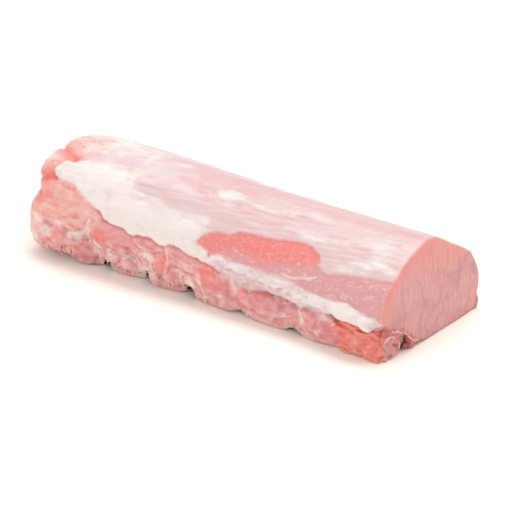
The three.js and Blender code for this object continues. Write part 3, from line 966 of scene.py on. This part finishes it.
def skin_material(colours):
    """The loin's whole skin: sheet of fat and silverskin, bare muscle, lobes with webs, and the cut."""
    f = Finish("loin_skin", 0.22, 0.25)
    at = f.field
    cloud = f.noise(15, 3)
    patch = f.noise(6, 3, (1.6, 1, 1), 0.6)
    small = f.noise(2.6, 3, (1.3, 1, 1), 0.6)
    ragged = f.noise(2.2, 3, rough=0.6) * 2.6
    long_streaks = f.noise(4.0, 3, (9, 1, 1), 0.6, 0.6)
    fine_streaks = f.noise(1.2, 2, (12, 1, 1), 0.6)
    grain = f.noise(1.3, 3, rough=0.65)
    veil = long_streaks * 1.1 + fine_streaks * 0.7 + cloud * 0.7

    # The sheet: silverskin over the meat, pinker where thin, white where the fat is thick.
    thick = (at("fat") + patch * 1.4 + long_streaks + cloud * 0.4).band(0.05, 1.1)
    seam = at("seam")
    ropes = f.noise(2.4, 3, (5, 1, 1), 0.6, 0.6)
    specks = f.noise(1.8, 2).band(0.16, 0.24) * seam * at("rough")
    sheet = f.layers(
        colours.silver,
        ((veil * 1.1 + at("blush")).band(-0.1, 1.1), colours.blush),
        (thick, colours.fat),
        ((at("lilac") + patch * 0.6).band(0.1, 1.0) * 0.75, colours.lilac),
        ((at("grey") + patch * 0.8).band(0.1, 1.0) * 0.85, colours.grey),
        (ropes.band(-0.05, 0.15) * seam * 0.8, colours.seam),
        ((-ropes).band(0.0, 0.2) * seam * 0.5, colours.lilac),
        (small.band(0.0, 0.2) * seam * (1 - thick * 0.7) * 0.55, colours.blush),
        # Painted shade: the seam's hollows are painted pinker and darker.
        (at("hollow").band(0.2, 1.0) * seam * 0.5, colours.blush),
        (specks * 0.6, colours.mauve),
    )

    # Bare muscle: coral where freshest, rose towards the cut, with pale marbling and the thin line.
    red = (at("red") + ragged * 0.9 + cloud * 5).band(-7.0, 4.0) * 0.88
    marbling = f.noise(2.6, 4, (1.5, 1, 1), 0.7, 0.2).band(-0.02, 0.24)
    muscle = f.layers(
        colours.rose,
        (patch.band(-0.1, 0.25) * 0.35, colours.mauve),
        (red, colours.coral),
        (grain.band(-0.05, 0.25) * 0.35, colours.blush),
        (marbling * (0.6 - red * 0.25), colours.web),
        ((1 - (at("line") + ragged * 0.4).band(0.0, 1.6)) * 0.8, colours.web),
    )

    # The side meat: lobes of rose and plum between paler tissue, coral and pale places, pale webs.
    loose = f.blend(patch.band(-0.2, 0.25) * 0.5, colours.lobe, colours.web)
    lobe = f.layers(
        colours.lobe,
        ((patch + cloud).band(-0.2, 0.3), colours.plum),
        ((small + fine_streaks * 0.8).band(0.0, 0.3) * 0.4, colours.web),
        ((grain * 0.4 - small).band(0.0, 0.3) * 0.35, colours.coral),
    )
    rib = f.blend((veil + small * 0.7).band(-0.25, 0.55), colours.salmon, colours.peach)
    pale = (at("pale") + small * 0.9 + patch * 0.4).band(0.2, 0.9)
    web = 1 - (at("web") + ragged * 0.3 + patch * 5.0).band(-0.3, 3.0)
    flesh = f.layers(
        loose,
        ((at("lobe") + small * 0.3).band(-0.03, 0.3), lobe),
        ((at("mauve") + patch * 0.6).band(0.0, 0.9), colours.plum),
        (at("salmon"), rib),
        ((at("coral") + patch * 0.7).band(0.1, 1.0), colours.coral),
        # Painted shade in the hollows of the relief.
        (at("hollow").band(0.1, 1.0) * 0.5, colours.deep),
        (pale * 0.95, colours.web),
        (web * (0.35 + cloud.band(-0.12, 0.1) * 0.6), colours.web),
        # Painted highlight on the ridges of the relief.
        (at("ridge") * 0.4, colours.web),
        ((at("grey") * at("near")).band(0.2, 1.0) * 0.8, colours.grey),
        ((1 - (at("crease") + ragged).band(0.0, 8.0)) * 0.9, colours.coral),
    )

    # The cut face: faint upright streaks, duller patches, mauve low on the near side that is partly painted
    # shade, a warm rim that painted light widens over the top, and a pale near edge.
    upright = f.noise(1.5, 4, (1, 1, 8), 0.65, 0.9)
    face = f.layers(
        colours.cut,
        (upright.band(-0.05, 0.3) * 0.6, colours.web),
        ((-upright).band(-0.02, 0.25) * 0.45, colours.mauve),
        ((patch + cloud * 1.5).band(-0.1, 0.3) * 0.55, colours.mauve),
        ((small + cloud * 0.8).band(0.0, 0.3) * 0.5, colours.plum),
        # Mauve low on the near side of the cut face: partly the meat's duller tone, partly painted shade.
        ((at("dusk") + cloud * 0.8).band(0.1, 1.0) * 0.4, colours.mauve),
        # Partly painted light: the warm rim is stronger over the top.
        ((at("warm") + patch * 0.6).band(0.0, 0.9) * 0.85, colours.warm),
        ((at("fringe") + small * 1.4).band(0.35, 0.9) * 0.8, colours.web),
    )

    # The whole: flesh under the sheet, the bare muscle, a painted shadow along the sheet's edge, the cut,
    # and painted shade inside the holes.
    on_sheet = (at("sheet") + ragged * 0.5).band(-0.6, 0.9)
    bare = (at("bare") + ragged * 0.8 + long_streaks * 3.0).band(-1.3, 1.1)
    shadow = at("sheet").bump(-0.9, 1.3) * at("step")
    body = f.layers(
        flesh,
        (on_sheet, sheet),
        (bare, muscle),
        (shadow * 0.3, colours.deep),
        ((at("rim") + ragged * 0.4).band(-0.9, 2.2), face),
        (at("cave").band(0.3, 0.9), colours.cave),
    )
    relief = grain * 0.5 + fine_streaks * 0.5 + (small + 0.5) * (1 - on_sheet) * at("near") * 1.2
    return f.finish(body, 0.46 + cloud * 0.2, relief, 0.3)


def torn_material(colours, name, meat_colour, hollow_shade_colour):
    """Torn trimmings: fresh meat with pale painted highlights on its ridges, darker folds of painted shade
    in its hollows, and a duller torn end.
    """
    f = Finish(name, 0.3, 0.2)
    at = f.field
    grain = f.noise(2.0, 2)
    folds = f.noise(6, 3, (1.6, 1, 0.8), 0.6, 0.8)
    torn_end = f.blend(folds.band(-0.2, 0.3), colours.rose, colours.peach)
    meat = f.layers(
        meat_colour,
        (folds.band(-0.1, 0.25) * 0.65, colours.salmon),
        # Painted shade in the hollows of the folds.
        ((at("hollow") + grain * 0.5).band(0.2, 1.0) * 0.4, hollow_shade_colour),
        # Painted highlight of pale peach on the ridges of the folds.
        ((at("ridge") + grain * 0.9).band(0.3, 1.1) * 0.7, colours.peach),
        ((at("start") + folds * 0.8).band(0.2, 0.9) * 0.8, colours.rose),
        ((at("end") + folds * 0.5).band(0.3, 0.8) * 0.7, torn_end),
        # Painted shade inside a deep hole.
        (at("cave").band(0.3, 0.8), colours.cave),
    )
    return f.finish(meat, 0.42 + folds * 0.2, grain, 0.3)


def web_material(colours):
    """Pale moist strands of membrane."""
    f = Finish("pale_web", 0.5, 0.4)
    grain = f.noise(1.5, 2)
    colour = f.blend(grain.band(-0.2, 0.3), colours.blush, colours.web)
    return f.finish(colour, 0.4 + grain * 0.2, grain, 0.2)


class LOIN_OT_body(bpy.types.Operator):
    """Builds the loin's whole skin with its relief and its map"""
    bl_idname = "loin.body"
    bl_label = "Loin body"

    def execute(self, context):
        skin = skin_for(context.scene.loin_relief)
        along, around = skin.along, skin.around
        rib_end = smooth(-88, -106, along) * smooth(2, 12, around) + smooth(-140, -155, along)
        far = smooth(120, 165, around) * 0.5
        # What the material reads: stains, distances to borders, and shares of the places named.
        fields = {
            **skin.stains,
            "line": skin.thin_line,
            "crease": np.min(skin.creases, axis=0),
            "seam": between(-4, 12, 100, 122, along) * between(-14, -8, 9, 14, around),
            "rough": between(12, 24, 46, 60, along),
            "salmon": np.clip(rib_end + far, 0, 1),
            "near": between(-40, -25, 30, 60, around) * (1 - skin.face),
            # Dusk: duller mauve low on the near side of the cut face, partly the meat's tone and partly
            # painted shade.
            "dusk": skin.face * hill(skin.points[..., 1], -62, 14) * hill(skin.points[..., 2], 26, 22),
            "fringe": skin.face * hill(skin.rim, 0, 3.5) * between(-62, -50, -12, 4, around),
        }
        for name in "sheet bare red web rim warm cave hollow ridge lobe step".split():
            fields[name] = getattr(skin, name)
        mesh = ring_mesh("loin_body", skin.points, fields)
        mesh.materials.append(skin_material(context.scene.loin_colours))
        add_piece("loin_body", mesh)
        return {"FINISHED"}


# Torn trimmings: tubes along the loin with a tilted section, and for the flap a hole in its torn end.
NUB = {
    "first": 103.0, "last": 149.5, "across": -66.5, "up": 9.5, "wide": 13.0, "high": 13.0, "tilt": 0.0,
    "rounds": (12, 11), "lean": 0.5, "folds": 1.9, "hole": (149, -69, 10, 4), "hole_deep": 1.5, "end": 1.0,
}
FLAP = {
    "first": 124.0, "last": 151.0, "across": -54.5, "up": 11.5, "wide": 20.5, "high": 7.5, "tilt": -30.0,
    "rounds": (16, 6), "lean": 0.0, "folds": 1.4, "hole": (150, -55.0, 6.0, 7.5), "hole_deep": 11.0,
    "end": 0.0,
}
TORN_SPACING = 0.45


def torn_mesh(name, form, relief, seed):
    """A torn lump: a rounded tube pushed in and out by deep folds, ragged at its free end."""
    long = form["last"] - form["first"]
    rows = int(long / TORN_SPACING)
    columns = int(math.pi * (form["wide"] + form["high"]) / TORN_SPACING)
    share = (1 - np.cos(np.linspace(0.02, np.pi - 0.02, rows))) / 2
    x = form["first"] + long * mix(np.linspace(0.001, 0.999, rows), share, 0.6)
    size = tube_share(x, form["first"], form["last"], *form["rounds"])[:, None]
    angle = np.linspace(0, 2 * np.pi, columns, endpoint=False)[None, :]
    cosine, sine = np.cos(angle), np.sin(angle)
    square = (cosine ** 4 + sine ** 4) ** -0.25 * size
    aside, above = -square * form["wide"] * cosine, square * form["high"] * sine
    across, up = turned(aside, above, -form["tilt"])
    across, up = across + form["across"], up + form["up"]
    points = np.stack([np.broadcast_to(x[:, None], up.shape), across, up], -1)
    leaning = form["lean"] * smooth(form["last"], form["first"], points[..., 0])
    points[..., 0] += leaning * (form["up"] - up)
    normals = grid_normals(points)
    folds = 2 * np.abs(Grain(seed).at(points, (13, 9, 8), 1)) - 0.6
    crumple = Grain(seed + 1).at(points, (6, 4, 3.5), 2)
    fine = Grain(seed + 2).at(points, (1.8, 1.4, 1.4), 2)
    end = form["end"] * smooth(form["last"] - 4, form["last"] - 0.5, points[..., 0])
    high = form["folds"] * relief.torn_high / MM * (0.5 * folds + 0.3 * crumple - 0.25)
    high += relief.torn_high / MM * (0.04 + 0.1 * end) * fine
    moved = points + normals * high[..., None]
    hole = np.array(form["hole"][:3], float)
    gap = np.linalg.norm((points - hole) / np.array([2.5, 1, 1]), axis=-1) / form["hole"][3]
    gap = gap + 0.2 * fine
    moved[..., 0] -= form["hole_deep"] * smooth(1.1, 0.4, gap)
    moved[..., 2] = np.maximum(0, moved[..., 2])
    low = np.clip(-0.55 * folds - 0.6 * crumple, 0, 1)
    ridge = np.clip(0.9 * folds + 0.7 * crumple + 0.15 * fine - 0.3, 0, 1)
    slanted = points[..., 0] - 0.7 * (form["up"] - points[..., 2])
    start = smooth(form["first"] + 11, form["first"] + 2, slanted)
    # Where the hole is deep, its painted shade is kept as a field.
    fields = {
        "hollow": low, "ridge": ridge, "end": end, "start": start,
        "cave": smooth(1.0, 0.7, gap) * (form["hole_deep"] > DARK_HOLE),
    }
    return ring_mesh(name, moved, fields)


class LOIN_OT_trimmings(bpy.types.Operator):
    """Builds the torn nub under the seam and the torn flap under the cut face"""
    bl_idname = "loin.trimmings"
    bl_label = "Torn trimmings"

    def execute(self, context):
        relief = context.scene.loin_relief
        colours = context.scene.loin_colours
        coral = torn_material(colours, "torn_coral", colours.fresh, colours.fold_shade)
        mauve = torn_material(colours, "torn_mauve", colours.torn, colours.deep)
        for name, form, seed, material in (("torn_nub", NUB, 21, coral), ("torn_flap", FLAP, 31, mauve)):
            mesh = torn_mesh(name, form, relief, seed)
            mesh.materials.append(material)
            add_piece(name, mesh)
        return {"FINISHED"}


# Where pale strands lie on the skin, as (along, round), and where shreds hang, as lines of places.
STRANDS = WEBS[1:4] + WEBS[6:7]
SHRED_LINES = (
    ((-131, -13), (-124, -14), (-116, -13)), ((-98, -17), (-92, -14), (-86, -16), (-83, -21)),
    ((-53, -14), (-47, -12), (-41, -14), (-38, -19)), ((-12, -17), (-6, -15), (-1, -17), (1, -22)),
    ((27, -20), (36, -22)), ((72, -19), (80, -19)), ((-50, -7), (-45, -8)), ((60, -4), (67, -6)),
    ((-146, -14), (-138, -17), (-128, -16), (-112, -18)), ((-118, -6), (-110, -5), (-104, -9)),
    ((-90, -15), (-80, -18), (-64, -19)), ((-36, -15), (-26, -19), (-18, -17)), ((-14, -9), (-6, -11)),
)
# Lines in the plane of the cut, as (across, up): the pale fringe of the flap and the torn rim of the nub.
FRINGE = ((-69, 22), (-62, 18.5), (-55, 15.5), (-50, 12), (-46, 8), (-42, 5.5), (-36, 3))
NUB_RIM = ((-77, 16), (-70, 18.5), (-63, 15), (-59, 9), (-61, 3))
FRINGE_X = 149.8


def in_cut(marks, x=FRINGE_X):
    """A line in the plane of the cut, as points."""
    return [(x, *place) for place in marks]


class Growth(Graph):
    """A Geometry Nodes tree under construction, from a path of edges to a mesh."""

    def __init__(self, name, **inputs):
        self.tree = bpy.data.node_groups.new(name, "GeometryNodeTree")
        super().__init__(self.tree)
        face = self.tree.interface
        self.slots = {}
        for title, kind in {"Path": "Geometry", **inputs}.items():
            socket = face.new_socket(title, in_out="INPUT", socket_type="NodeSocket" + kind)
            self.slots[title] = socket.identifier
        face.new_socket("Mesh", in_out="OUTPUT", socket_type="NodeSocketGeometry")
        source = self.nodes.new("NodeGroupInput")
        self.given = {socket.name: Shade(self, socket) for socket in source.outputs if socket.name}
        self.place = self.node("GeometryNodeInputPosition", {}, ())
        self.curve = self.node("GeometryNodeMeshToCurve", {}, {"Mesh": self.given["Path"]})

    def noise(self, size, seed, output):
        """Noise from 0 to 1 with features of a size in millimetres, different for each seed."""
        sockets = {"Vector": self.place, "W": seed, "Scale": 1 / (size * MM), "Detail": 2.0}
        return self.node("ShaderNodeTexNoise", {"noise_dimensions": "4D"}, sockets, output)

    def chance(self, low, high, seed):
        """A random vector for each point."""
        sockets = {"Min": low, "Max": high, "Seed": seed}
        return self.node("FunctionNodeRandomValue", {"data_type": "FLOAT_VECTOR"}, sockets)

    def scaled(self, vector, size):
        """A vector made longer or shorter."""
        return self.node("ShaderNodeVectorMath", {"operation": "SCALE"}, {0: vector, "Scale": size})

    def wander(self, size, seed, reach):
        """A shift that changes smoothly from place to place, with features of a size in millimetres."""
        vectors = (self.noise(size, seed, "Color"), (0.5, 0.5, 0.5))
        return self.scaled(self.node("ShaderNodeVectorMath", {"operation": "SUBTRACT"}, vectors), reach)

    def moved(self, geometry, shift):
        """Geometry with each point shifted."""
        return self.node("GeometryNodeSetPosition", {}, {"Geometry": geometry, "Offset": shift})

    def close(self, mesh):
        """Ends the tree: real geometry with its material."""
        real = self.node("GeometryNodeRealizeInstances", {}, {0: mesh})
        sockets = {"Geometry": real, "Material": self.given["Material"]}
        made = self.node("GeometryNodeSetMaterial", {}, sockets)
        self.links.new(made.socket, self.nodes.new("NodeGroupOutput").inputs[0])
        return self

    def grow(self, name, lines, **values):
        """Runs the tree on lines of points in millimetres and shows the result as a piece."""
        corners, edges = [], []
        for line in lines:
            edges += [(len(corners) + k, len(corners) + k + 1) for k in range(len(line) - 1)]
            corners += placed(line).tolist()
        path = bpy.data.meshes.new(name + "_path")
        path.from_pydata(corners, edges, [])
        carrier = show(name + "_path", path)
        modifier = carrier.modifiers.new(name, "NODES")
        modifier.node_group = self.tree
        for title, value in values.items():
            modifier[self.slots[title]] = value
        evaluated = carrier.evaluated_get(bpy.context.evaluated_depsgraph_get())
        mesh = bpy.data.meshes.new_from_object(evaluated)
        bpy.data.objects.remove(carrier)
        if not mesh.polygons:
            raise RuntimeError(name + " came out empty")
        mesh.name = name
        mesh.shade_smooth()
        return add_piece(name, mesh)


def strand_tree():
    """Thin wavering strands that follow lines and taper at both ends."""
    g = Growth("strands", Thickness="Float", Wander="Float", Seed="Float", Material="Material")
    sockets = {"Curve": g.curve, "Length": 0.7 * MM}
    curve = g.node("GeometryNodeResampleCurve", {"mode": "LENGTH"}, sockets)
    curve = g.moved(curve, g.wander(7.0, g.given["Seed"], g.given["Wander"]))
    share = g.node("GeometryNodeSplineParameter", {}, (), "Factor")
    inner = (share * (1 - share) * 7.0).clamped()
    uneven = g.noise(3.0, g.given["Seed"], 0) * 2.0 + 0.1
    thick = g.given["Thickness"] * uneven * inner.sum("POWER", inner, 0.6) + 0.04 * MM
    ring = g.node("GeometryNodeCurvePrimitiveCircle", {}, {"Resolution": 8, "Radius": 1.0})
    sockets = {"Curve": curve, "Profile Curve": ring, "Scale": thick, "Fill Caps": True}
    return g.close(g.node("GeometryNodeCurveToMesh", {}, sockets))


def shred_tree():
    """Small ragged bits of tissue strewn along lines."""
    g = Growth("shreds", Size="Float", Spacing="Float", Seed="Int", Material="Material")
    size, seed = g.given["Size"], g.given["Seed"]
    sockets = {"Curve": g.curve, "Length": g.given["Spacing"]}
    points = g.node("GeometryNodeCurveToPoints", {"mode": "LENGTH"}, sockets)
    points = g.moved(points, g.scaled(g.chance((-0.8,) * 3, (0.8,) * 3, seed), size))
    bit = g.node("GeometryNodeMeshIcoSphere", {}, {"Radius": 1.0, "Subdivisions": 3})
    turn = g.chance((0.0,) * 3, (2 * math.pi,) * 3, seed + 1)
    scale = g.scaled(g.chance((0.7, 0.25, 0.2), (1.7, 0.65, 0.35), seed + 2), size)
    sockets = {"Points": points, "Instance": bit, "Rotation": turn, "Scale": scale}
    bits = g.node("GeometryNodeInstanceOnPoints", {}, sockets)
    bits = g.node("GeometryNodeRealizeInstances", {}, {0: bits})
    return g.close(g.moved(bits, g.wander(1.6, 0.0, size * 1.2)))


class LOIN_OT_strands(bpy.types.Operator):
    """Grows the pale strands over the side meat and along the torn edges"""
    bl_idname = "loin.strands"
    bl_label = "Pale strands"

    def execute(self, context):
        relief = context.scene.loin_relief
        colours = context.scene.loin_colours
        skin = skin_for(relief)
        tree = strand_tree()
        tree.grow(
            "pale_strands", [skin.line(line) for line in STRANDS], Thickness=relief.strand_thick,
            Wander=2.5 * MM, Seed=3.0, Material=web_material(colours))
        torn = torn_material(colours, "shred_meat", colours.peach, colours.lobe)
        tree.grow(
            "torn_fringe", [in_cut(FRINGE), in_cut(NUB_RIM, FRINGE_X - 1)],
            Thickness=2.0 * relief.strand_thick, Wander=4.0 * MM, Seed=8.0, Material=torn)
        return {"FINISHED"}


class LOIN_OT_shreds(bpy.types.Operator):
    """Strews small ragged bits along the torn edges"""
    bl_idname = "loin.shreds"
    bl_label = "Shreds"

    def execute(self, context):
        relief = context.scene.loin_relief
        skin = skin_for(relief)
        tree = shred_tree()
        tree.grow(
            "edge_shreds", [skin.line(line) for line in SHRED_LINES], Size=relief.shred_size,
            Spacing=2.2 * MM, Seed=5, Material=bpy.data.materials["shred_meat"])
        tree.grow(
            "fringe_shreds", [in_cut(FRINGE)], Size=0.45 * relief.shred_size,
            Spacing=1.2 * MM, Seed=9, Material=bpy.data.materials["pale_web"])
        return {"FINISHED"}


class LOIN_OT_stage(bpy.types.Operator):
    """Sets the camera, the soft lights and the pale floor"""
    bl_idname = "loin.stage"
    bl_label = "Studio"

    def execute(self, context):
        scene = context.scene
        studio = scene.loin_studio
        scene.view_settings.view_transform = "Standard"
        self.camera(scene, studio)
        self.floor(studio)
        self.light("top_light", studio.key, *TOP_LIGHT, studio.aim)
        self.light("front_light", studio.fill, *FRONT_LIGHT, studio.aim)
        world = bpy.data.worlds.new("white_room")
        world.use_nodes = True
        room = world.node_tree.nodes["Background"].inputs
        room["Color"].default_value = (1, 1, 1, 1)
        room["Strength"].default_value = studio.sky
        scene.world = world
        return {"FINISHED"}

    def camera(self, scene, studio):
        data = bpy.data.cameras.new("camera")
        data.lens = studio.lens
        data.clip_end = VIEW_FAR
        camera = show("camera", data)
        side = math.cos(studio.elevation)
        turn = studio.azimuth
        back = Vector((math.sin(turn) * side, -math.cos(turn) * side, math.sin(studio.elevation)))
        camera.location = Vector(studio.aim) + back * studio.distance
        camera.rotation_euler = (-back).to_track_quat("-Z", "Y").to_euler()
        scene.camera = camera

    def floor(self, studio):
        corners = [(x * FLOOR_HALF, y * FLOOR_HALF, 0) for x, y in ((-1, -1), (1, -1), (1, 1), (-1, 1))]
        mesh = bpy.data.meshes.new("floor")
        mesh.from_pydata(corners, [], [(0, 1, 2, 3)])
        material = bpy.data.materials.new("floor")
        material.use_nodes = True
        shader = material.node_tree.nodes["Principled BSDF"].inputs
        shader["Base Color"].default_value = (*linear(studio.floor), 1)
        shader["Roughness"].default_value = 0.9
        shader["Specular IOR Level"].default_value = 0.1
        mesh.materials.append(material)
        floor = show("floor", mesh)

    def light(self, name, power, size, place, aim):
        data = bpy.data.lights.new(name, "AREA")
        data.energy = power
        data.shape = "RECTANGLE"
        data.size, data.size_y = size
        lamp = show(name, data)
        lamp.location = place
        down = Vector((aim[0], aim[1], LIT_HEIGHT)) - Vector(place)
        lamp.rotation_euler = down.to_track_quat("-Z", "Y").to_euler()


class LOIN_PT_panel(bpy.types.Panel):
    """Lists the steps that build the loin"""
    bl_label = "Pork loin"
    bl_idname = "LOIN_PT_panel"
    bl_space_type = "VIEW_3D"
    bl_region_type = "UI"
    bl_category = "Pork loin"

    def draw(self, context):
        for step in STEPS:
            self.layout.operator(step.bl_idname)
        for group in (context.scene.loin_relief, context.scene.loin_colours, context.scene.loin_studio):
            box = self.layout.box()
            for name in group.__annotations__:
                box.prop(group, name)


STEPS = (LOIN_OT_stage, LOIN_OT_body, LOIN_OT_trimmings, LOIN_OT_strands, LOIN_OT_shreds)
GROUPS = {"loin_relief": LoinRelief, "loin_colours": LoinColours, "loin_studio": LoinStudio}


def register():
    for kind in (*GROUPS.values(), *STEPS, LOIN_PT_panel):
        bpy.utils.register_class(kind)
    for name, group in GROUPS.items():
        setattr(bpy.types.Scene, name, bpy.props.PointerProperty(type=group))


def unregister():
    for name in GROUPS:
        delattr(bpy.types.Scene, name)
    for kind in reversed((*GROUPS.values(), *STEPS, LOIN_PT_panel)):
        bpy.utils.unregister_class(kind)


def main():
    register()
    for step in STEPS:
        place, name = step.bl_idname.split(".")
        getattr(getattr(bpy.ops, place), name)()


if __name__ == "__main__":
    main()
